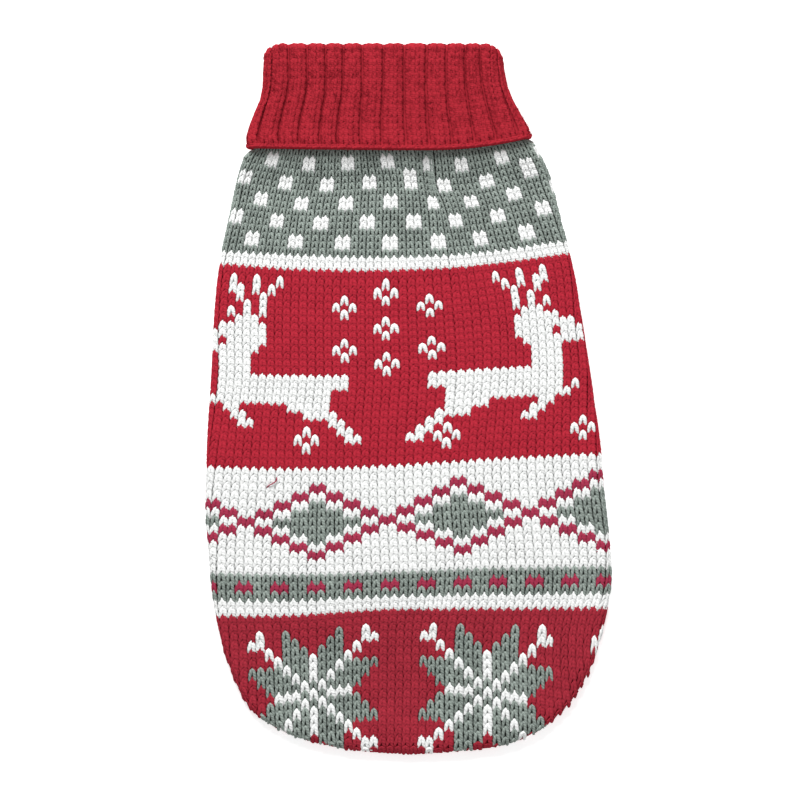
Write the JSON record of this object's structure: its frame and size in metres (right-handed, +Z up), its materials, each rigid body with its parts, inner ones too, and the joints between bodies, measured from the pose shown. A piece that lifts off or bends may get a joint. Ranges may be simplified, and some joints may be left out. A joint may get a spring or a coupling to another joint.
{
  "type": "knitted pet christmas sweater",
  "caption": "Sleeveless knitted pet sweater laid flat: folded ribbed collar, patterned back with a rounded tail flap, belly panel and open leg holes.",
  "frame": {"origin": "centre of the garment's outline, on the surface it lies on", "axes": "+X across the garment to the right as seen from above with the collar up, +Y towards the collar, +Z up from the surface"},
  "size_m": [0.2094, 0.3642, 0.0118],
  "materials": {
    "red_yarn": "soft brushed acrylic knit, matt",
    "belly_yarn": "plain soft knit, matt",
    "collar_yarn": "ribbed brushed knit, matt and slightly fuzzy"
  },
  "bodies": {
    "root": {"back_panel": "red_yarn", "belly_panel": "belly_yarn", "collar": "collar_yarn"}
  },
  "joints": []
}
